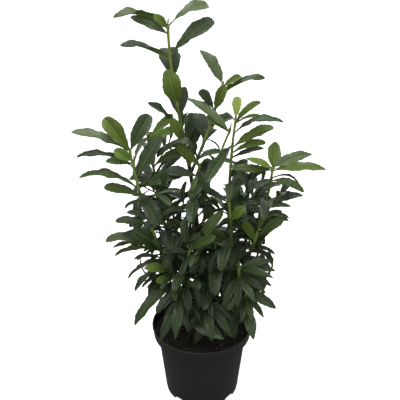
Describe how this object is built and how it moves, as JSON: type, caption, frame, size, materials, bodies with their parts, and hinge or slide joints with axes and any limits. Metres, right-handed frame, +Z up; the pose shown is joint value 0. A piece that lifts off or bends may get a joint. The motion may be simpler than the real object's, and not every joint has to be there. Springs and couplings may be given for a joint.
{
  "type": "potted cherry laurel shrub",
  "caption": "Young cherry laurel shrub with several leafy upright shoots of long glossy evergreen leaves, in a round black nursery pot filled with compost.",
  "frame": {"origin": "on the floor, at the middle of the pot's flat underside", "axes": "+Z up along the leading shoot; -Y towards the viewer of the plant's front; +X to that viewer's right"},
  "size_m": [0.4301, 0.3144, 0.7704],
  "materials": {
    "pot_plastic": "satin black",
    "compost": "damp, crumbly",
    "bark": "thin brown-green bark",
    "foliage": "leathery green leaf"
  },
  "bodies": {
    "root": {"back_left_leaves": "foliage", "back_left_stem": "bark", "back_middle_leaves": "foliage", "back_middle_stem": "bark", "back_right_leaves": "foliage", "back_right_stem": "bark", "centre_leaves": "foliage", "centre_right_leaves": "foliage", "centre_right_stem": "bark", "centre_stem": "bark", "compost": "compost", "front_left_leaves": "foliage", "front_left_stem": "bark", "front_middle_leaves": "foliage", "front_middle_stem": "bark", "front_right_leaves": "foliage", "front_right_stem": "bark", "inner_left_leaves": "foliage", "inner_left_stem": "bark", "inner_middle_leaves": "foliage", "inner_middle_stem": "bark", "inner_right_leaves": "foliage", "inner_right_stem": "bark", "leader_fork_leaves": "foliage", "leader_fork_stem": "bark", "leader_leaves": "foliage", "leader_side_leaves": "foliage", "leader_side_stem": "bark", "leader_stem": "bark", "left_leaves": "foliage", "left_side_leaves": "foliage", "left_side_stem": "bark", "left_stem": "bark", "low_back_leaves": "foliage", "low_back_side_leaves": "foliage", "low_back_side_stem": "bark", "low_back_stem": "bark", "low_corner_leaves": "foliage", "low_corner_stem": "bark", "low_edge_leaves": "foliage", "low_edge_stem": "bark", "low_front_leaves": "foliage", "low_front_stem": "bark", "low_left_leaves": "foliage", "low_left_stem": "bark", "low_right_leaves": "foliage", "low_right_stem": "bark", "low_side_leaves": "foliage", "low_side_stem": "bark", "middle_leaves": "foliage", "middle_stem": "bark", "pot": "pot_plastic", "right_leaves": "foliage", "right_stem": "bark"}
  },
  "joints": []
}
